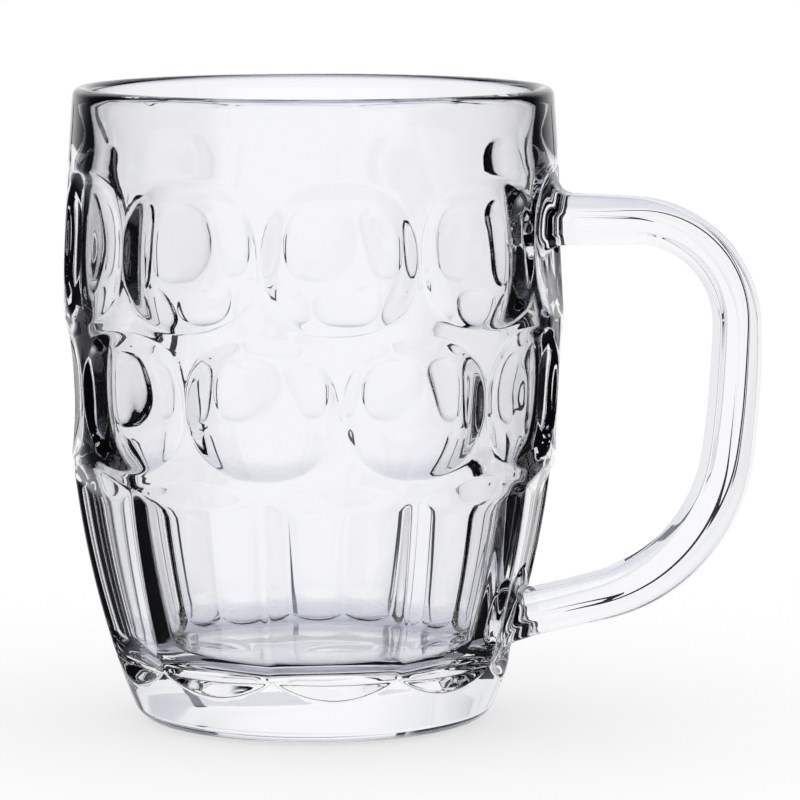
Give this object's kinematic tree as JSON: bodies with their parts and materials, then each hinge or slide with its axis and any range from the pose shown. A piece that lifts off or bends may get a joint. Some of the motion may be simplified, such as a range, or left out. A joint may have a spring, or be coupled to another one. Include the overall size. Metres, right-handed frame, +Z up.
{
  "type": "glass barrel beer mug",
  "caption": "Clear glass barrel beer mug with rows of pressed dimples over tall panels, a heavy base and a faceted strap handle fused to the wall at both ends.",
  "frame": {"origin": "middle of the flat foot, on the bowl's axis, on the surface the mug stands on", "axes": "+Z up along the bowl's axis; +X towards the handle; +Y completes a right-handed frame"},
  "size_m": [0.1335, 0.0954, 0.121],
  "materials": {
    "bowl_glass": "clear, fire-polished",
    "handle_glass": "clear, fire-polished",
    "weld_glass": "clear, slightly wavy where it was fused"
  },
  "bodies": {
    "root": {"bowl": "bowl_glass", "handle": "handle_glass", "upper_weld": "weld_glass", "lower_weld": "weld_glass"}
  },
  "joints": []
}
